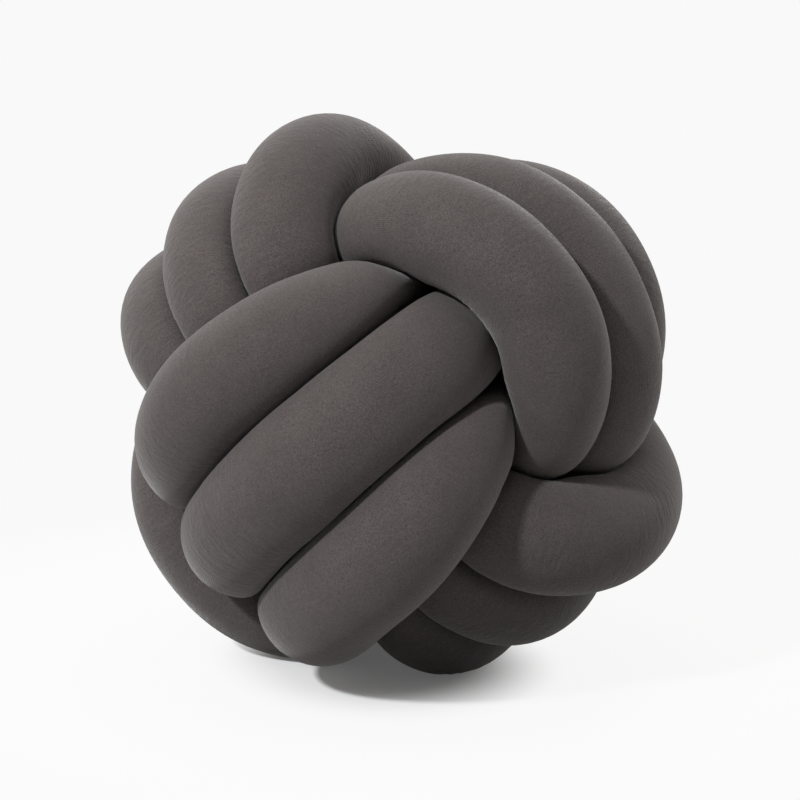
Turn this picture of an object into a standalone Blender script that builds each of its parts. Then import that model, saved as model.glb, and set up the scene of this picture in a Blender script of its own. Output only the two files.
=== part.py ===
"""Knot cushion: one long stuffed jersey tube, tied in a monkey's fist.

The tube runs three times round each of three bands that stand square to each other. A band
crosses over one of the other two and under the third. The strands press on each other, so a
strand is round where it is free and flat where it meets its neighbour. The tube's two ends
are joined out of sight in the middle, so that the cushion is one closed solid.

The knot is drawn on its own axes, which point out of its front, upper right and upper left
faces. It is then leaned as it rests, with +Z up, its front towards -Y and its floor at z = 0.
"""

import math
from collections import namedtuple

import bpy
import numpy as np

MM = 0.001
TINY = 1e-9

# The tube
TUBE_RADIUS = 31 * MM
SECTIONS = 344
SIDES = 16
STEPS_PER_SECTION = 4  # the finer steps along the tube that each section keeps clear for
FINE_POINTS = 1500  # along the tube, while its path is evened out
SQUASH_BLEND = 12  # how sharply a round section turns into the flat where two strands meet
TIGHTEST_BEND = 0.6  # a section stays within this share of its own bend's radius
OWN_STRETCH = 80 * MM  # along the tube, no stretch presses on the one this near to it
# The gap between strands, by how far from the knot's middle they meet
Gap = namedtuple("Gap", "width distance")
INNER_GAP = Gap(2.5 * MM, 75 * MM)
OUTER_GAP = Gap(0.6 * MM, 105 * MM)

# A band's middle turn: how far its centreline lies from the knot's middle
UNDER_RADIUS = 49 * MM
SHOULDER_RADIUS = 95 * MM
CROWN_RADIUS = 117 * MM

# A band's two outer turns, against the middle one
LANES = (-1, 0, 1)
OUTER_CROWN_SHARE = 0.95
OUTER_DEPTH_SHARE = 0.84
LANE_UNDER = 20 * MM
LANE_CROWN = 51 * MM
LANE_SPREAD = 2.2

# The path: in turns, the half length of a change of lane, and what a band leaves to the join
LANE_CHANGE = 0.10
JOIN_CUT = 0.085
STEPS_PER_TURN = 180
# Two points of the join between bands, along a band's own out, deep and side directions
JOIN_POINTS = ((6 * MM, -27 * MM, 8 * MM), (-8 * MM, -8 * MM, -27 * MM))

# How it rests, on the knot's axes
UP = (-0.10, 0.70, 0.71)
TOWARDS_FRONT = (0.88, 0.48, -0.04)
FLOOR_BELOW_MIDDLE = 130.5 * MM

# How a strand leaves the even knot, in millimetres: how far it stands out at its first
# shoulder, its crown and its last shoulder, how far it lies to the side there, and how much
# thicker it is there.
Lay = namedtuple(
    "Lay",
    "out_first out_crown out_last side_first side_crown side_last thick_first thick_crown"
    " thick_last",
    defaults=(0, 0, 0),
)
LAYS = {
    "front_1": Lay(-2, 3, 4, 0, 3, 2, -1, -2, 1),
    "front_2": Lay(-10, 3, 5, 1, 1, -4, 6, 0, 1),
    "front_3": Lay(-5, 1, 9, 0, -3, -15, -2, 0, 1),
    "upper_right_1": Lay(7, 9, 4, -2, -3, 1, -2, -4, -5),
    "upper_right_2": Lay(-9, 1, 3, 0, -4, 0, 1, 0, 2),
    "upper_right_3": Lay(-12, -3, 3, 0, 0, 0, 0, -1, 0),
    "upper_left_1": Lay(1, 1, 1, -4, -1, -1, -1, -1, 0),
    "upper_left_2": Lay(0, 2, 0, -3, -1, 0, -3, 0, 1),
    "upper_left_3": Lay(2, -2, 0, -2, 1, 0),
    "lower_left_1": Lay(4, -4, 0, 0, 0, 0),
    "lower_right_1": Lay(9, 4, 7, 3, 0, -5, 2, 0, -1),
    "lower_right_2": Lay(0, -3, 1, 0, -2, -2, 0, -1, -4),
    "lower_right_3": Lay(3, -8, -1, 0, 6, 3, -1, 0, 0),
}
# Where along a strand each of a row's three places lies and how far it reaches, in degrees
Place = namedtuple("Place", "angle reach")
PLACES = (Place(45, 24), Place(90, 28), Place(135, 24))

# For each band: the face that its strands cross on the way out, and the one opposite
BAND_FACES = (
    ("front", "back"),
    ("upper_right", "lower_left"),
    ("upper_left", "lower_right"),
)

JERSEY_COLOUR = (0.060, 0.0495, 0.046, 1.0)
JERSEY_ROUGHNESS = 0.92


def smoothstep(share):
    share = min(max(share, 0.0), 1.0)
    return share * share * (3 - 2 * share)


def lane_at(turns):
    """A band's lane, from the first to the last, after so many of its turns."""
    lane = LANES[0]
    for change in range(1, len(LANES)):
        lane += smoothstep((turns - change + LANE_CHANGE) / (2 * LANE_CHANGE))
    return lane


def turn_radius(angle):
    """The middle turn's radius: least where it passes under, most at its crown."""
    mean = (UNDER_RADIUS + 2 * SHOULDER_RADIUS + CROWN_RADIUS) / 4
    oval = (CROWN_RADIUS - UNDER_RADIUS) / 2
    square = (UNDER_RADIUS + CROWN_RADIUS - 2 * SHOULDER_RADIUS) / 4
    return mean - oval * math.cos(2 * angle) + square * math.cos(4 * angle)


def lay_offsets(strand, angle):
    """How far out and aside this strand's own lay moves it, and how much thicker it is."""
    lay = LAYS.get(strand, Lay(0, 0, 0, 0, 0, 0))
    degrees = math.degrees(angle) % 180
    shares = [math.exp(-(((degrees - place.angle) / place.reach) ** 2)) for place in PLACES]
    return MM * np.reshape(lay, (3, 3)) @ shares


def band_axes(band):
    """The band's out, deep and side directions."""
    axes = np.eye(3)
    return axes[band], axes[(band + 1) % 3], axes[(band + 2) % 3]


def placed(band, out, deep, side, radius):
    """A place on the centreline and the tube's radius there, as one row of four numbers."""
    out_axis, deep_axis, side_axis = band_axes(band)
    return np.append(out * out_axis + deep * deep_axis + side * side_axis, radius)


def band_point(band, turns):
    """The centreline of this band after so many turns, which start where it passes under."""
    angle = math.pi * (1 + 2 * turns)
    sine, cosine = math.sin(angle), math.cos(angle)
    lane = lane_at(turns)
    spread = abs(sine) ** LANE_SPREAD
    radius = turn_radius(angle)
    out = radius * sine * (1 - (1 - OUTER_CROWN_SHARE) * lane**2 * spread)
    deep = radius * cosine * (1 - (1 - OUTER_DEPTH_SHARE) * lane**2)
    side = lane * (LANE_UNDER + (LANE_CROWN - LANE_UNDER) * spread)
    face = BAND_FACES[band][0 if sine >= 0 else 1]
    lay_out, lay_side, lay_thick = lay_offsets(f"{face}_{2 - round(lane)}", angle)
    out += lay_out * sine
    deep += lay_out * cosine
    return placed(band, out, deep, side + lay_side, TUBE_RADIUS + lay_thick)


def route_points():
    """Rows along the whole tube: each band's turns, then the join to the next band."""
    turns = len(LANES)
    steps = round((turns - 2 * JOIN_CUT) * STEPS_PER_TURN)
    points = []
    for band in range(3):
        for at in np.linspace(JOIN_CUT, turns - JOIN_CUT, steps):
            points.append(band_point(band, at))
        for join in JOIN_POINTS:
            points.append(placed(band, *join, TUBE_RADIUS))
    return np.array(points)


def smoothed(points, rounds):
    """The closed line with its small kinks evened out."""
    for _ in range(rounds):
        points = (np.roll(points, 1, axis=0) + 2 * points + np.roll(points, -1, axis=0)) / 4
    return points


def length(step):
    return np.linalg.norm(step[..., :3], axis=-1)


def closed_spline(points, finest):
    """A centripetal spline through the closed row of points, in steps of about finest."""
    before, after, last = (np.roll(points, shift, axis=0) for shift in (1, -1, -2))
    fine = []
    for p0, p1, p2, p3 in zip(before, points, after, last):
        knots = [math.sqrt(length(b - a)) for a, b in ((p0, p1), (p1, p2), (p2, p3))]
        start = (p1 - p0) / knots[0] - (p2 - p0) / (knots[0] + knots[1]) + (p2 - p1) / knots[1]
        end = (p2 - p1) / knots[1] - (p3 - p1) / (knots[1] + knots[2]) + (p3 - p2) / knots[2]
        start, end = start * knots[1], end * knots[1]
        steps = max(1, int(length(p2 - p1) / finest))
        for step in range(steps):
            t = step / steps
            fine.append(
                (2 * t**3 - 3 * t**2 + 1) * p1
                + (t**3 - 2 * t**2 + t) * start
                + (3 * t**2 - 2 * t**3) * p2
                + (t**3 - t**2) * end
            )
    return np.array(fine)


def evenly_spaced(points, count):
    """The closed line as count rows at even steps along it."""
    ring = np.vstack([points, points[:1]])
    along = np.concatenate([[0.0], np.cumsum(length(np.diff(ring, axis=0)))])
    wanted = np.arange(count) * along[-1] / count
    return np.stack([np.interp(wanted, along, column) for column in ring.T], axis=1)


def centreline(count):
    """The tube's closed centreline and radius, on the knot's axes."""
    fine = evenly_spaced(closed_spline(route_points(), finest=MM), FINE_POINTS)
    return evenly_spaced(smoothed(fine, rounds=6), count)


def untwisted_frames(points):
    """Two directions across the tube at each point, turned as little as they can be."""
    count = len(points)
    tangents = np.roll(points, -1, axis=0) - np.roll(points, 1, axis=0)
    tangents /= np.linalg.norm(tangents, axis=1)[:, None]
    first = np.cross(tangents[0], (0.3, 0.5, 0.8))
    carried = [first / np.linalg.norm(first)]
    for here in range(count):
        there = (here + 1) % count
        step = points[there] - points[here]
        direction = carried[-1] - 2 * step * (step @ carried[-1]) / (step @ step)
        tangent = tangents[here] - 2 * step * (step @ tangents[here]) / (step @ step)
        turn = tangents[there] - tangent
        carried.append(direction - 2 * turn * (turn @ direction) / (turn @ turn))
    across = np.array(carried[:count])
    beside = np.cross(tangents, across)
    twist = math.atan2(carried[count] @ beside[0], carried[count] @ across[0])
    share = -twist * np.arange(count)[:, None] / count
    turned = np.cos(share) * across + np.sin(share) * beside
    return turned, np.cross(tangents, turned)


def strand_gap(point):
    """The gap that a strand keeps here: wider inside the knot, where its bends are tight."""
    depth = (length(point) - INNER_GAP.distance) / (OUTER_GAP.distance - INNER_GAP.distance)
    return INNER_GAP.width + (OUTER_GAP.width - INNER_GAP.width) * smoothstep(depth)


def room_along(spokes, here, strands):
    """How far each spoke runs before the tube meets another strand.

    The two press flat on the plane where their round surfaces would cross, a gap apart, so a
    thicker strand takes more of the room. Each spoke is cut where it meets the nearest one.
    """
    gap = strand_gap(here[:3])
    towards = strands[:, :3] - here[:3]
    distance = np.sum(towards**2, axis=1)
    facing = gap + spokes @ towards.T
    room = distance + here[3] ** 2 - strands[:, 3] ** 2 - gap**2
    return np.where(facing > 0, room / (2 * np.maximum(facing, TINY)), np.inf).min(axis=1)


def tube_rings(sections, sides):
    """The tube's surface, as a ring of points round each point of its centreline."""
    rows = centreline(STEPS_PER_SECTION * sections)
    points, radii = rows[:, :3], rows[:, 3]
    count = len(points)
    across, beside = untwisted_frames(points)
    step = length(np.roll(points, -1, axis=0) - points).mean()
    bends = (np.roll(points, -1, axis=0) - 2 * points + np.roll(points, 1, axis=0)) / step**2
    bends = smoothed(bends, rounds=8)
    angles = np.arange(sides) * 2 * math.pi / sides
    spokes = np.cos(angles)[:, None] * across[:, None] + np.sin(angles)[:, None] * beside[:, None]
    room = np.empty((count, sides))
    bend_room = np.empty((count, sides))
    for index in range(count):
        apart = np.abs(np.arange(count) - index)
        strands = rows[np.minimum(apart, count - apart) * step > OWN_STRETCH]
        room[index] = room_along(spokes[index], rows[index], strands)
        bend_room[index] = TIGHTEST_BEND / np.maximum(spokes[index] @ bends[index], TINY)
    room = np.minimum(room, np.minimum(np.roll(room, 1, axis=0), np.roll(room, -1, axis=0)))
    free = np.repeat(radii[:, None], sides, axis=1)
    limits = np.stack([free, room, bend_room])
    reach = np.sum(limits**-SQUASH_BLEND, axis=0) ** (-1 / SQUASH_BLEND)
    surface = points[:, None] + reach[..., None] * spokes
    return surface[::STEPS_PER_SECTION]


def resting(rings):
    """The rings in the world: leaned, set on the floor, flat where they touch it."""
    up = np.array(UP) / np.linalg.norm(UP)
    front = np.array(TOWARDS_FRONT) - np.dot(TOWARDS_FRONT, up) * up
    front /= np.linalg.norm(front)
    right = np.cross(up, front)
    world = rings @ np.stack([right, -front, up], axis=1)
    world[..., 2] = np.maximum(world[..., 2] + FLOOR_BELOW_MIDDLE, 0.0)
    flat = world.reshape(-1, 3)
    world[..., :2] -= (flat[:, :2].min(axis=0) + flat[:, :2].max(axis=0)) / 2
    return world


def ring_faces(count, sides):
    """The four-sided faces between neighbouring rings of a closed tube."""
    faces = []
    for ring in range(count):
        following = (ring + 1) % count
        for side in range(sides):
            beside = (side + 1) % sides
            faces.append(
                (
                    ring * sides + side,
                    ring * sides + beside,
                    following * sides + beside,
                    following * sides + side,
                )
            )
    return faces


def jersey():
    material = bpy.data.materials.new("grey_jersey")
    material.use_nodes = True
    shader = material.node_tree.nodes["Principled BSDF"]
    shader.inputs["Base Color"].default_value = JERSEY_COLOUR
    shader.inputs["Roughness"].default_value = JERSEY_ROUGHNESS
    shader.inputs["Metallic"].default_value = 0.0
    return material


def knotted_tube():
    rings = resting(tube_rings(SECTIONS, SIDES))
    mesh = bpy.data.meshes.new("knotted_tube")
    mesh.from_pydata(rings.reshape(-1, 3).tolist(), [], ring_faces(SECTIONS, SIDES))
    mesh.materials.append(jersey())
    mesh.shade_smooth()
    mesh.update()
    tube = bpy.data.objects.new("knotted_tube", mesh)
    bpy.context.scene.collection.objects.link(tube)
    return tube


def main():
    for old in list(bpy.data.objects):
        bpy.data.objects.remove(old)
    knotted_tube()


main()
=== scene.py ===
"""Looks of the knot cushion: one stuffed jersey tube, tied in a monkey's fist.

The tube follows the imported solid's own path and squash, drawn finer. Its knit is a material on
coordinates that run along and round the tube.
"""

import math
from collections import namedtuple

import bpy
import numpy as np
from mathutils import Matrix, Vector


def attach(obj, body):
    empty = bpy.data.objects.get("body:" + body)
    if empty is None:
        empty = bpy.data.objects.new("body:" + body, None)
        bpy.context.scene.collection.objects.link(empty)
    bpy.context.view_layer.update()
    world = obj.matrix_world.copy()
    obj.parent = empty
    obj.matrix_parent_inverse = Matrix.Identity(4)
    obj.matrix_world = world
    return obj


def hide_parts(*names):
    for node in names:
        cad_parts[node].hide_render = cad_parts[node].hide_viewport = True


MM = 0.001
TINY = 1e-9

# The tube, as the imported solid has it
TUBE_RADIUS = 31 * MM
FINE_POINTS = 1500
SQUASH_POINTS = 1376
TIGHTEST_BEND = 0.6
OWN_STRETCH = 80 * MM
UNDER_RADIUS = 49 * MM
SHOULDER_RADIUS = 95 * MM
CROWN_RADIUS = 117 * MM
LANES = (-1, 0, 1)
OUTER_CROWN_SHARE = 0.95
OUTER_DEPTH_SHARE = 0.84
LANE_UNDER = 20 * MM
LANE_CROWN = 51 * MM
LANE_SPREAD = 2.2
LANE_CHANGE = 0.10
JOIN_CUT = 0.085
STEPS_PER_TURN = 180
JOIN_POINTS = ((6 * MM, -27 * MM, 8 * MM), (-8 * MM, -8 * MM, -27 * MM))
UP = (-0.10, 0.70, 0.71)
TOWARDS_FRONT = (0.88, 0.48, -0.04)
FLOOR_BELOW_MIDDLE = 130.5 * MM

Lay = namedtuple(
    "Lay",
    "out_first out_crown out_last side_first side_crown side_last thick_first thick_crown"
    " thick_last",
    defaults=(0, 0, 0),
)
LAYS = {
    "front_1": Lay(-2, 3, 4, 0, 3, 2, -1, -2, 1),
    "front_2": Lay(-10, 3, 5, 1, 1, -4, 6, 0, 1),
    "front_3": Lay(-5, 1, 9, 0, -3, -15, -2, 0, 1),
    "upper_right_1": Lay(7, 9, 4, -2, -3, 1, -2, -4, -5),
    "upper_right_2": Lay(-9, 1, 3, 0, -4, 0, 1, 0, 2),
    "upper_right_3": Lay(-12, -3, 3, 0, 0, 0, 0, -1, 0),
    "upper_left_1": Lay(1, 1, 1, -4, -1, -1, -1, -1, 0),
    "upper_left_2": Lay(0, 2, 0, -3, -1, 0, -3, 0, 1),
    "upper_left_3": Lay(2, -2, 0, -2, 1, 0),
    "lower_left_1": Lay(4, -4, 0, 0, 0, 0),
    "lower_right_1": Lay(9, 4, 7, 3, 0, -5, 2, 0, -1),
    "lower_right_2": Lay(0, -3, 1, 0, -2, -2, 0, -1, -4),
    "lower_right_3": Lay(3, -8, -1, 0, 6, 3, -1, 0, 0),
}
Place = namedtuple("Place", "angle reach")
PLACES = (Place(45, 24), Place(90, 28), Place(135, 24))
BAND_FACES = (
    ("front", "back"),
    ("upper_right", "lower_left"),
    ("upper_left", "lower_right"),
)

# The finer surface
SECTIONS = 1660
SIDES = 56
LINE_SMOOTHING = 6  # rounds
BEND_SMOOTHING = 8
REACH_SMOOTHING = 8
SPACING_SMOOTHING = 200
SQUASH_BLEND = 30  # the greater, the sharper the edge between a flat and the round
CORNER_RADIUS = 9 * MM
CORNER_SHARE = 0.98  # of a section's least reach: the largest disc used in a narrow one
CORNER_TRIES = 12
ACROSS_START = (0.3, 0.5, 0.8)  # any direction that isn't along the tube where it starts
Gap = namedtuple("Gap", "width distance")
INNER_GAP = Gap(0.9 * MM, 75 * MM)
OUTER_GAP = Gap(0.4 * MM, 100 * MM)
HIDDEN_DEPTH = 70 * MM  # from the knot's middle: sections lie further apart inside this
SHOWN_DEPTH = 92 * MM
HIDDEN_SHARE = 0.5

# The stuffing's unevenness, and the creases where another strand crosses close by
LUMP_DEPTH = 0.5 * MM
LUMP_LENGTH = 46 * MM
CREASE_DEPTH = 0.2 * MM
CREASE_LENGTH = 11 * MM
CREASE_SPREAD = (40, 14)  # rounds of evening out: along the tube and round it
CREASE_NEARNESS = 3  # how soon creases reach their full depth beside a crossing strand

# The knit: wales round the tube, courses and ripples along it. Heights are in millimetres, and
# scales are noise features to the metre.
WALES = 184
COURSE = 0.9 * MM
WALE_HEIGHT = 0.13
LOOP_SHARE = 0.25
RIPPLE_LENGTH = 1.9 * MM
RIPPLE_WIDTH = 7 * MM
RIPPLE_HEIGHT = 0.5
FUZZ_HEIGHT = 0.2
FLECK_SCALE = 1300
FLECK_CONTRAST = 1.5
CLOUD_SCALE = 60
CLOUD_CONTRAST = 0.3
# How much darker the grooves between wales are painted: painted shade
WALE_GROOVE_SHADE = 0.3
PATCH_EDGES = (0.4, 0.6)
CLEAR_KNIT_SCALE = 21
CLEAR_KNIT_LEAST = 0.25
RIPPLED_SCALE = 13
RIPPLED_LEAST = 0.4
JERSEY_COLOUR = (0.060, 0.0495, 0.046, 1.0)
JERSEY_ROUGHNESS = 0.92
JERSEY_SPECULAR = 0.25
FUZZ_SHEEN = 0.25
FUZZ_SHEEN_ROUGHNESS = 0.4
FUZZ_SHEEN_COLOUR = (0.80, 0.77, 0.74, 1.0)

# The light: azimuths are from the viewer's side, positive to the right, in degrees
KEY_FROM = (-45, 38)
KEY_WIDTH = 5
KEY_STRENGTH = 3.35
KEY_COLOUR = (0.955, 0.995, 1.045)
GLOW_FROM = (-166, 40)
GLOW_START = -0.25
GLOW_LEAST = 0.06
GLOW_MOST = 2.3
BACKGROUND_LIGHT = 0.947
FLOOR_WHITE = 0.86
FLOOR_TINT = (1.03, 1.0, 0.97)  # evens out the key's own colour
# The floor's painted glow: its share of the floor's brightness away from the contact, and at the
# contact
FLOOR_GLOW = 0.95
CONTACT_GLOW = 0.09
CONTACT = (-10 * MM, -25 * MM, 0.0)
CONTACT_REACH = (45 * MM, 100 * MM)  # from the least glow to the floor's
SHADOW_REACH = (170 * MM, 340 * MM)  # from the floor's glow to no shadow at all
# The unseen table's colour: white far off, with painted shade round a spot beside the contact
TABLE_WHITE = 0.46
TABLE_PAINTED_SHADE_MIDDLE = (55 * MM, -50 * MM, 0.0)
TABLE_REACH = (75 * MM, 150 * MM)
PLANE_HALF = 15.0
FLOOR_HEIGHT = -0.2 * MM
TABLE_HEIGHT = -0.4 * MM

# The camera: azimuth and elevation as for the light, and a turn about its own line of sight
CAMERA_FROM = (0.25, 12.7)
CAMERA_ROLL = 2.0
CAMERA_DISTANCE = 1400 * MM
CAMERA_OFFSET = (2.33 * MM, 0.95 * MM)
LENS_PIXELS = 2744.6
PICTURE_PIXELS = 800
SENSOR = 36.0
FARTHEST_SEEN = 100.0


def smoothstep(share):
    share = min(max(share, 0.0), 1.0)
    return share * share * (3 - 2 * share)


def lane_at(turns):
    """A band's lane, from the first to the last, after so many of its turns."""
    lane = LANES[0]
    for change in range(1, len(LANES)):
        lane += smoothstep((turns - change + LANE_CHANGE) / (2 * LANE_CHANGE))
    return lane


def turn_radius(angle):
    """The middle turn's radius: least where it passes under, most at its crown."""
    mean = (UNDER_RADIUS + 2 * SHOULDER_RADIUS + CROWN_RADIUS) / 4
    oval = (CROWN_RADIUS - UNDER_RADIUS) / 2
    square = (UNDER_RADIUS + CROWN_RADIUS - 2 * SHOULDER_RADIUS) / 4
    return mean - oval * math.cos(2 * angle) + square * math.cos(4 * angle)


def lay_offsets(strand, angle):
    """How far out and aside this strand's own lay moves it, and how much thicker it is."""
    lay = LAYS.get(strand, Lay(0, 0, 0, 0, 0, 0))
    degrees = math.degrees(angle) % 180
    shares = [math.exp(-(((degrees - place.angle) / place.reach) ** 2)) for place in PLACES]
    return MM * np.reshape(lay, (3, 3)) @ shares


def placed(band, out, deep, side, radius):
    """A place on the centreline and the tube's radius there, as one row of four numbers."""
    axes = np.eye(3)
    out_axis, deep_axis, side_axis = axes[band], axes[(band + 1) % 3], axes[(band + 2) % 3]
    return np.append(out * out_axis + deep * deep_axis + side * side_axis, radius)


def band_point(band, turns):
    """The centreline of this band after so many turns, which start where it passes under."""
    angle = math.pi * (1 + 2 * turns)
    sine, cosine = math.sin(angle), math.cos(angle)
    lane = lane_at(turns)
    spread = abs(sine) ** LANE_SPREAD
    radius = turn_radius(angle)
    out = radius * sine * (1 - (1 - OUTER_CROWN_SHARE) * lane**2 * spread)
    deep = radius * cosine * (1 - (1 - OUTER_DEPTH_SHARE) * lane**2)
    side = lane * (LANE_UNDER + (LANE_CROWN - LANE_UNDER) * spread)
    face = BAND_FACES[band][0 if sine >= 0 else 1]
    lay_out, lay_side, lay_thick = lay_offsets(f"{face}_{2 - round(lane)}", angle)
    out += lay_out * sine
    deep += lay_out * cosine
    return placed(band, out, deep, side + lay_side, TUBE_RADIUS + lay_thick)


def route_points():
    """Rows along the whole tube: each band's turns, then the join to the next band."""
    turns = len(LANES)
    steps = round((turns - 2 * JOIN_CUT) * STEPS_PER_TURN)
    points = []
    for band in range(3):
        for at in np.linspace(JOIN_CUT, turns - JOIN_CUT, steps):
            points.append(band_point(band, at))
        for join in JOIN_POINTS:
            points.append(placed(band, *join, TUBE_RADIUS))
    return np.array(points)


def smoothed(points, rounds):
    """The closed line with its small kinks evened out."""
    for _ in range(rounds):
        points = (np.roll(points, 1, axis=0) + 2 * points + np.roll(points, -1, axis=0)) / 4
    return points


def length(step):
    return np.linalg.norm(step[..., :3], axis=-1)


def closed_spline(points, finest):
    """A centripetal spline through the closed row of points, in steps of about finest."""
    before, after, last = (np.roll(points, shift, axis=0) for shift in (1, -1, -2))
    fine = []
    for p0, p1, p2, p3 in zip(before, points, after, last):
        knots = [math.sqrt(length(b - a)) for a, b in ((p0, p1), (p1, p2), (p2, p3))]
        start = (p1 - p0) / knots[0] - (p2 - p0) / (knots[0] + knots[1]) + (p2 - p1) / knots[1]
        end = (p2 - p1) / knots[1] - (p3 - p1) / (knots[1] + knots[2]) + (p3 - p2) / knots[2]
        start, end = start * knots[1], end * knots[1]
        steps = max(1, int(length(p2 - p1) / finest))
        for step in range(steps):
            t = step / steps
            fine.append(
                (2 * t**3 - 3 * t**2 + 1) * p1
                + (t**3 - 2 * t**2 + t) * start
                + (3 * t**2 - 2 * t**3) * p2
                + (t**3 - t**2) * end
            )
    return np.array(fine)


def arcs_of(line):
    """How far along the closed line each point lies, with the whole length last."""
    ring = np.vstack([line, line[:1]])
    return np.concatenate([[0.0], np.cumsum(length(np.diff(ring, axis=0)))])


def at_arcs(line, arcs, wanted):
    """The closed line's rows at the wanted distances along it."""
    ring = np.vstack([line, line[:1]])
    return np.stack([np.interp(wanted, arcs, column) for column in ring.T], axis=1)


def evenly_spaced(line, count):
    arcs = arcs_of(line)
    return at_arcs(line, arcs, np.arange(count) * arcs[-1] / count)


def section_arcs(line, arcs):
    """Where the sections lie along the line: closer together where the tube can be seen."""
    depth = (length(line) - HIDDEN_DEPTH) / (SHOWN_DEPTH - HIDDEN_DEPTH)
    depth = np.clip(depth, 0, 1)
    weight = HIDDEN_SHARE + (1 - HIDDEN_SHARE) * depth**2 * (3 - 2 * depth)
    weight = smoothed(weight, SPACING_SMOOTHING)
    passed = np.concatenate([[0.0], np.cumsum(weight * np.diff(arcs))])
    return np.interp(np.arange(SECTIONS) * passed[-1] / SECTIONS, passed, arcs)


def untwisted_frames(points):
    """Two directions across the tube at each point, turned as little as they can be."""
    count = len(points)
    tangents = np.roll(points, -1, axis=0) - np.roll(points, 1, axis=0)
    tangents /= np.linalg.norm(tangents, axis=1)[:, None]
    first = np.cross(tangents[0], ACROSS_START)
    carried = [first / np.linalg.norm(first)]
    for here in range(count):
        there = (here + 1) % count
        step = points[there] - points[here]
        mirrored = carried[-1] - 2 * step * (step @ carried[-1]) / (step @ step)
        tangent = tangents[here] - 2 * step * (step @ tangents[here]) / (step @ step)
        turn = tangents[there] - tangent
        carried.append(mirrored - 2 * turn * (turn @ mirrored) / (turn @ turn))
    across = np.array(carried[:count])
    beside = np.cross(tangents, across)
    twist = math.atan2(carried[count] @ beside[0], carried[count] @ across[0])
    share = -twist * np.arange(count)[:, None] / count
    turned = np.cos(share) * across + np.sin(share) * beside
    return turned, np.cross(tangents, turned)


def strand_gap(point):
    depth = (length(point) - INNER_GAP.distance) / (OUTER_GAP.distance - INNER_GAP.distance)
    return INNER_GAP.width + (OUTER_GAP.width - INNER_GAP.width) * smoothstep(depth)


def room_along(spokes, here, strands):
    """How far each spoke runs before the tube meets another strand, and which strand."""
    gap = strand_gap(here[:3])
    towards = strands[:, :3] - here[:3]
    distance = np.sum(towards**2, axis=1)
    facing = gap + spokes @ towards.T
    room = distance + here[3] ** 2 - strands[:, 3] ** 2 - gap**2
    room = np.where(facing > 0, room / (2 * np.maximum(facing, TINY)), np.inf)
    return room.min(axis=1), room.argmin(axis=1)


def rounded(reach, ways):
    """A section with its corners eased: all of it that a disc of one size can cover."""
    rim = reach[:, None] * ways
    size = min(CORNER_RADIUS, CORNER_SHARE * reach.min())
    fits, misses = np.zeros(SIDES), reach
    for _ in range(CORNER_TRIES):
        tried = (fits + misses) / 2
        clear = np.linalg.norm(tried[:, None, None] * ways[:, None] - rim, axis=2).min(axis=1)
        fits, misses = np.where(clear < size, fits, tried), np.where(clear < size, tried, misses)
    ahead = fits[:, None] * (ways @ ways.T)
    under = size**2 - fits[:, None] ** 2 + ahead**2
    return np.where(under > 0, ahead + np.sqrt(np.maximum(under, 0)), 0).max(axis=0)


def evened(field, rounds):
    """The field over sections and sides, evened out along the tube and round it."""
    for _ in range(rounds[0]):
        field = (np.roll(field, 1, axis=0) + 2 * field + np.roll(field, -1, axis=0)) / 4
    for _ in range(rounds[1]):
        field = (np.roll(field, 1, axis=1) + 2 * field + np.roll(field, -1, axis=1)) / 4
    return field


def dents(along, angles, crossed):
    """How far the surface sinks: soft lumps all over, and creases beside a crossing strand.

    The odd factors keep the waves out of step, so that neither repeats evenly.
    """
    lump = along[:, None] * 2 * math.pi / LUMP_LENGTH
    lumps = np.sin(lump + 2.1 * np.cos(angles)) + np.sin(0.61 * lump - 1.7 * np.sin(angles))
    crease = along[:, None] * 2 * math.pi / CREASE_LENGTH
    bent = 1.4 * np.sin(0.23 * crease) + 1.3 * np.sin(angles + 0.11 * crease)
    creases = np.sin(crease + bent) * np.sin(0.37 * crease + 2 * np.cos(angles))
    near = np.clip(CREASE_NEARNESS * evened(crossed, CREASE_SPREAD), 0, 1)
    return LUMP_DEPTH * (lumps + 2) / 4 + CREASE_DEPTH * near * (creases + 1) / 2


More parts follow.
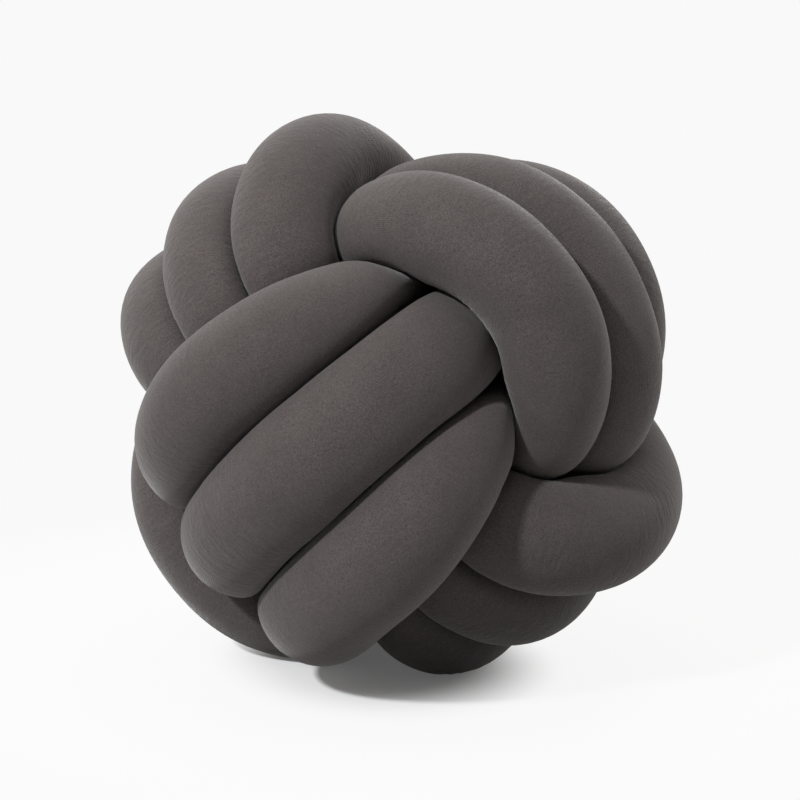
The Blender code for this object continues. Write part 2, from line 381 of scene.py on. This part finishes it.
def tube_rings():
    """The tube's surface as rings of points, and how far along the tube each ring lies."""
    route = evenly_spaced(closed_spline(route_points(), finest=MM), FINE_POINTS)
    line = closed_spline(smoothed(route, LINE_SMOOTHING), finest=MM)
    arcs = arcs_of(line)
    whole = arcs[-1]

    strands = evenly_spaced(line, SQUASH_POINTS)
    strand_arcs = np.arange(SQUASH_POINTS) * whole / SQUASH_POINTS
    step = whole / SQUASH_POINTS
    bends = np.roll(strands, -1, axis=0) - 2 * strands + np.roll(strands, 1, axis=0)
    bends = smoothed(bends[:, :3] / step**2, BEND_SMOOTHING)

    along = section_arcs(line, arcs)
    rows = at_arcs(line, arcs, along)
    points, radii = rows[:, :3], rows[:, 3]
    bends = at_arcs(bends, np.append(strand_arcs, whole), along)
    across, beside = untwisted_frames(points)
    angles = np.arange(SIDES) * 2 * math.pi / SIDES
    ways = np.stack([np.cos(angles), np.sin(angles)], axis=1)
    spokes = ways[:, :1] * across[:, None] + ways[:, 1:] * beside[:, None]
    headings = np.roll(strands, -1, axis=0)[:, :3] - np.roll(strands, 1, axis=0)[:, :3]
    headings /= length(headings)[:, None]
    room = np.empty((SECTIONS, SIDES))
    crossed = np.empty((SECTIONS, SIDES))
    bend_room = np.empty((SECTIONS, SIDES))
    for index in range(SECTIONS):
        apart = np.abs(strand_arcs - along[index])
        own = headings[np.argmin(apart)]
        apart = np.minimum(apart, whole - apart) > OWN_STRETCH
        room[index], nearest = room_along(spokes[index], rows[index], strands[apart])
        aslant = 1 - np.abs(headings[apart][nearest] @ own)
        crossed[index] = np.where(room[index] < radii[index], aslant, 0)
        bend_room[index] = TIGHTEST_BEND / np.maximum(spokes[index] @ bends[index], TINY)
    free = np.repeat(radii[:, None], SIDES, axis=1)
    limits = np.stack([free, room, bend_room])
    reach = np.sum(limits**-SQUASH_BLEND, axis=0) ** (-1 / SQUASH_BLEND)
    reach = smoothed(np.array([rounded(section, ways) for section in reach]), REACH_SMOOTHING)
    reach -= dents(along, angles, crossed)
    return points[:, None] + reach[..., None] * spokes, np.append(along, whole)


def world_axes():
    """The world's right, back and up directions on the knot's axes, as columns."""
    up = np.array(UP) / np.linalg.norm(UP)
    front = np.array(TOWARDS_FRONT) - np.dot(TOWARDS_FRONT, up) * up
    front /= np.linalg.norm(front)
    return np.stack([np.cross(up, front), -front, up], axis=1)


def resting(rings):
    """The rings in the world, flat where they touch the floor, and the knot's middle."""
    world = rings @ world_axes()
    world[..., 2] = np.maximum(world[..., 2] + FLOOR_BELOW_MIDDLE, 0.0)
    flat = world.reshape(-1, 3)
    centre = (flat[:, :2].min(axis=0) + flat[:, :2].max(axis=0)) / 2
    world[..., :2] -= centre
    return world, Vector((-centre[0], -centre[1], FLOOR_BELOW_MIDDLE))


def tube_mesh(rings, along):
    """The tube's mesh, with the knit's coordinates: metres along it, turns round it."""
    ring, side = np.divmod(np.arange(SECTIONS * SIDES), SIDES)
    following, beside = (ring + 1) % SECTIONS, (side + 1) % SIDES
    faces = np.stack(
        [
            ring * SIDES + side,
            ring * SIDES + beside,
            following * SIDES + beside,
            following * SIDES + side,
        ],
        axis=1,
    )
    mesh = bpy.data.meshes.new("jersey_tube")
    mesh.from_pydata(rings.reshape(-1, 3).tolist(), [], faces.tolist())
    knit = np.zeros((len(faces), 4, 3), np.float32)
    knit[:, :, 0] = np.stack([along[ring], along[ring], along[ring + 1], along[ring + 1]], axis=1)
    knit[:, :, 1] = np.stack([side, side + 1, side + 1, side], axis=1) / SIDES
    attribute = mesh.attributes.new("knit", "FLOAT_VECTOR", "CORNER")
    attribute.data.foreach_set("vector", knit.ravel())
    mesh.shade_smooth()
    mesh.update()
    return mesh


class Nodes:
    """Adds shader nodes to a material and links them."""

    def __init__(self, material):
        material.use_nodes = True
        self.tree = material.node_tree
        self.shader = self.tree.nodes["Principled BSDF"]

    def add(self, kind, values=(), **settings):
        node = self.tree.nodes.new(kind)
        for name, value in settings.items():
            setattr(node, name, value)
        for socket, value in dict(values).items():
            self.put(value, node.inputs[socket])
        return node

    def put(self, value, socket):
        if isinstance(value, bpy.types.NodeSocket):
            self.tree.links.new(value, socket)
        else:
            socket.default_value = value

    def sum_of(self, operation, first, second=0.0, third=0.0):
        """The outcome of this sum on two or three values."""
        node = self.add("ShaderNodeMath", {0: first, 1: second, 2: third}, operation=operation)
        return node.outputs[0]

    def noise(self, place, scale, detail):
        values = {"Vector": place, "Scale": scale, "Detail": detail}
        return self.add("ShaderNodeTexNoise", values).outputs[0]

    def contrast(self, cloud, amount):
        """The cloud as a factor of about one, varied by this amount."""
        return self.sum_of("MULTIPLY_ADD", cloud, amount, 1 - amount / 2)

    def grey(self, value):
        return self.add("ShaderNodeCombineColor", {0: value, 1: value, 2: value}).outputs[0]

    def patches(self, cloud, least):
        """A cloud as soft patches, from least between them to one inside them."""
        values = {"Value": cloud, 1: PATCH_EDGES[0], 2: PATCH_EDGES[1], 3: least, 4: 1.0}
        node = self.add("ShaderNodeMapRange", values, interpolation_type="SMOOTHSTEP")
        return node.outputs[0]


def jersey():
    """The knit: wales along the tube, short ripples across it, and heathered fuzz."""
    material = bpy.data.materials.new("grey_jersey")
    nodes = Nodes(material)
    knit = nodes.add("ShaderNodeAttribute", attribute_name="knit")
    parts = nodes.add("ShaderNodeSeparateXYZ", {0: knit.outputs["Vector"]})
    along, turns = parts.outputs[0], parts.outputs[1]
    place = nodes.add("ShaderNodeTexCoord").outputs["Object"]

    wale_place = nodes.sum_of("FRACT", nodes.sum_of("MULTIPLY", turns, WALES))
    from_middle = nodes.sum_of("ABSOLUTE", nodes.sum_of("SUBTRACT", wale_place, 0.5))
    slanted = nodes.sum_of("MULTIPLY_ADD", along, 1 / COURSE, from_middle)
    loop = nodes.sum_of("SINE", nodes.sum_of("MULTIPLY", slanted, 2 * math.pi))
    ridge = nodes.sum_of("MULTIPLY_ADD", from_middle, -2.0, 1.0)
    looped = nodes.sum_of("MULTIPLY_ADD", loop, LOOP_SHARE, 1 - LOOP_SHARE)
    wale = nodes.sum_of("MULTIPLY", ridge, looped)

    angle = nodes.sum_of("MULTIPLY", turns, 2 * math.pi)
    wide = TUBE_RADIUS / RIPPLE_WIDTH
    across = nodes.sum_of("MULTIPLY", nodes.sum_of("COSINE", angle), wide)
    beside = nodes.sum_of("MULTIPLY", nodes.sum_of("SINE", angle), wide)
    ripple_along = nodes.sum_of("MULTIPLY", along, 1 / RIPPLE_LENGTH)
    ripple_place = nodes.add("ShaderNodeCombineXYZ", {0: ripple_along, 1: across, 2: beside})
    ripple = nodes.noise(ripple_place.outputs[0], scale=1.0, detail=1.0)

    fleck = nodes.noise(place, FLECK_SCALE, detail=2.0)
    cloud = nodes.noise(place, CLOUD_SCALE, detail=3.0)
    clear_knit = nodes.noise(place, CLEAR_KNIT_SCALE, detail=1.0)
    clear_knit = nodes.patches(clear_knit, CLEAR_KNIT_LEAST)
    rippled = nodes.noise(place, RIPPLED_SCALE, detail=1.0)
    rippled = nodes.patches(rippled, RIPPLED_LEAST)

    knit_height = nodes.sum_of("MULTIPLY", nodes.sum_of("MULTIPLY", wale, clear_knit), WALE_HEIGHT)
    ripple_height = nodes.sum_of("MULTIPLY", ripple, rippled)
    height = nodes.sum_of("MULTIPLY_ADD", ripple_height, RIPPLE_HEIGHT, knit_height)
    height = nodes.sum_of("MULTIPLY_ADD", fleck, FUZZ_HEIGHT, height)
    bump = nodes.add("ShaderNodeBump", {"Strength": 1.0, "Distance": MM, "Height": height})

    tone = nodes.contrast(fleck, FLECK_CONTRAST)
    tone = nodes.sum_of("MULTIPLY", tone, nodes.contrast(cloud, CLOUD_CONTRAST))
    # Painted shade: the knit's colour is darker in the grooves between wales and lighter on their
    # ridges, following the wales' bump height
    painted_groove_shade = nodes.sum_of("MULTIPLY", nodes.sum_of("SUBTRACT", wale, 0.5), clear_knit)
    painted_groove_shade = nodes.sum_of("MULTIPLY_ADD", painted_groove_shade, WALE_GROOVE_SHADE, 1.0)
    grey = nodes.grey(nodes.sum_of("MULTIPLY", tone, painted_groove_shade))
    colour = nodes.add(
        "ShaderNodeMix",
        {0: 1.0, 6: JERSEY_COLOUR, 7: grey},
        data_type="RGBA",
        blend_type="MULTIPLY",
    )
    finish = {
        "Base Color": colour.outputs[2],
        "Normal": bump.outputs[0],
        "Roughness": JERSEY_ROUGHNESS,
        "Specular IOR Level": JERSEY_SPECULAR,
        "Sheen Weight": FUZZ_SHEEN,
        "Sheen Roughness": FUZZ_SHEEN_ROUGHNESS,
        "Sheen Tint": FUZZ_SHEEN_COLOUR,
    }
    for name, value in finish.items():
        nodes.put(value, nodes.shader.inputs[name])
    return material


def plane(name, height, material):
    mesh = bpy.data.meshes.new(name)
    signs = ((-1, -1), (1, -1), (1, 1), (-1, 1))
    places = [(PLANE_HALF * right, PLANE_HALF * back, 0) for right, back in signs]
    mesh.from_pydata(places, [], [(0, 1, 2, 3)])
    mesh.materials.append(material)
    made = bpy.data.objects.new(name, mesh)
    made.location = (0, 0, height)
    bpy.context.scene.collection.objects.link(made)
    return made


def dull(name):
    """A new material without gloss, and its nodes."""
    material = bpy.data.materials.new(name)
    nodes = Nodes(material)
    nodes.put(1.0, nodes.shader.inputs["Roughness"])
    nodes.put(0.0, nodes.shader.inputs["Specular IOR Level"])
    return material, nodes


def away_from(nodes, middle, reach, least, most):
    """A value that grows from least to most with the distance from this place."""
    place = nodes.add("ShaderNodeTexCoord").outputs["Object"]
    away = nodes.add("ShaderNodeVectorMath", {0: place, 1: middle}, operation="DISTANCE")
    values = {"Value": away.outputs["Value"], 1: reach[0], 2: reach[1], 3: least, 4: most}
    return nodes.add("ShaderNodeMapRange", values, interpolation_type="SMOOTHSTEP").outputs[0]


def floor():
    """A plain white floor that glows a little, so shadows on it are faint away from contact.

    The glow is painted light: it fills in the cushion's shadow on the floor, most of all far from
    the contact, and is least near the contact, where the shadow stays dark. It doesn't light the
    cushion: the table under it does.
    """
    material, nodes = dull("floor")
    white = [FLOOR_WHITE * tint for tint in FLOOR_TINT]
    nodes.put((*white, 1.0), nodes.shader.inputs["Base Color"])
    # Painted light: the floor's glow share, least near the contact and growing outward, so the
    # cushion's shadow is dark only close to it
    near = away_from(nodes, CONTACT, CONTACT_REACH, CONTACT_GLOW, FLOOR_GLOW)
    far = away_from(nodes, CONTACT, SHADOW_REACH, 0.0, 1.0)
    painted_glow = nodes.sum_of("MULTIPLY_ADD", nodes.sum_of("SUBTRACT", 1.0, near), far, near)
    shine = nodes.add("ShaderNodeEmission", {"Color": (1, 1, 1, 1), "Strength": BACKGROUND_LIGHT})
    mixed = nodes.add(
        "ShaderNodeMixShader",
        {0: painted_glow, 1: nodes.shader.outputs[0], 2: shine.outputs[0]},
    )
    nodes.put(mixed.outputs[0], nodes.tree.nodes["Material Output"].inputs["Surface"])
    seen = plane("floor", FLOOR_HEIGHT, material)
    seen.visible_diffuse = False
    seen.visible_shadow = False


def table():
    """A dull table that the camera doesn't see. It lights the cushion from below.

    Its colour is painted darker round a spot beside the cushion's contact: painted shade, on top
    of its real shadow from the cushion.
    """
    material, nodes = dull("table")
    # Painted shade: the table's white falls to black near a spot beside the contact, so the
    # cushion's undersides get less light from there
    white = away_from(nodes, TABLE_PAINTED_SHADE_MIDDLE, TABLE_REACH, 0.0, TABLE_WHITE)
    nodes.put(nodes.grey(white), nodes.shader.inputs["Base Color"])
    unseen = plane("table", TABLE_HEIGHT, material)
    unseen.visible_camera = False


def direction(azimuth, elevation):
    """The way to a place: azimuth from the viewer's side, positive to the right, in degrees."""
    azimuth, elevation = math.radians(azimuth), math.radians(elevation)
    flat = math.cos(elevation)
    return Vector((flat * math.sin(azimuth), -flat * math.cos(azimuth), math.sin(elevation)))


def camera(middle):
    back = direction(*CAMERA_FROM)
    level = Vector((0, 0, 1)).cross(back).normalized()
    right = Matrix.Rotation(math.radians(CAMERA_ROLL), 3, back) @ level
    up = back.cross(right)
    data = bpy.data.cameras.new("camera")
    data.sensor_width = SENSOR
    data.lens = LENS_PIXELS / PICTURE_PIXELS * SENSOR
    data.clip_end = FARTHEST_SEEN
    made = bpy.data.objects.new("camera", data)
    place = middle + CAMERA_DISTANCE * back + CAMERA_OFFSET[0] * right + CAMERA_OFFSET[1] * up
    made.matrix_world = Matrix.Translation(place) @ Matrix((right, up, back)).transposed().to_4x4()
    bpy.context.scene.collection.objects.link(made)
    bpy.context.scene.camera = made


def light():
    """A key from the front left, and a broad glow that is strongest behind on the left."""
    world = bpy.data.worlds.new("studio")
    bpy.context.scene.world = world
    world.use_nodes = True
    tree = world.node_tree
    way = tree.nodes.new("ShaderNodeTexCoord").outputs["Generated"]
    facing = tree.nodes.new("ShaderNodeVectorMath")
    facing.operation = "DOT_PRODUCT"
    tree.links.new(way, facing.inputs[0])
    facing.inputs[1].default_value = direction(*GLOW_FROM)
    graded = tree.nodes.new("ShaderNodeMapRange")
    tree.links.new(facing.outputs["Value"], graded.inputs["Value"])
    for socket, value in zip(graded.inputs[1:5], (GLOW_START, 1, GLOW_LEAST, GLOW_MOST)):
        socket.default_value = value
    tree.links.new(graded.outputs[0], tree.nodes["Background"].inputs["Strength"])
    tree.nodes["Background"].inputs["Color"].default_value = (1, 1, 1, 1)
    data = bpy.data.lights.new("key", "SUN")
    data.energy = KEY_STRENGTH
    data.color = KEY_COLOUR
    data.angle = math.radians(KEY_WIDTH)
    made = bpy.data.objects.new("key", data)
    made.rotation_euler = direction(*KEY_FROM).to_track_quat("Z", "Y").to_euler()
    bpy.context.scene.collection.objects.link(made)
    bpy.context.scene.view_settings.view_transform = "Standard"


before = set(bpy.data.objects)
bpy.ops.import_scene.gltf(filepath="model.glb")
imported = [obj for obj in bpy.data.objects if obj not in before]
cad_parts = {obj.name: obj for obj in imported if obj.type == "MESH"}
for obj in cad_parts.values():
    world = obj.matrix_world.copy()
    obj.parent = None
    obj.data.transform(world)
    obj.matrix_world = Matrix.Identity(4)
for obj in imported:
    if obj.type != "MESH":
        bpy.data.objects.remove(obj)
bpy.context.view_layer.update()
rings, along = tube_rings()
rings, middle = resting(rings)
cushion = bpy.data.objects.new("jersey_tube", tube_mesh(rings, along))
bpy.context.scene.collection.objects.link(cushion)
cushion.data.materials.append(jersey())
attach(cushion, "root")
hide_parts("knotted_tube")
floor()
table()
camera(middle)
light()
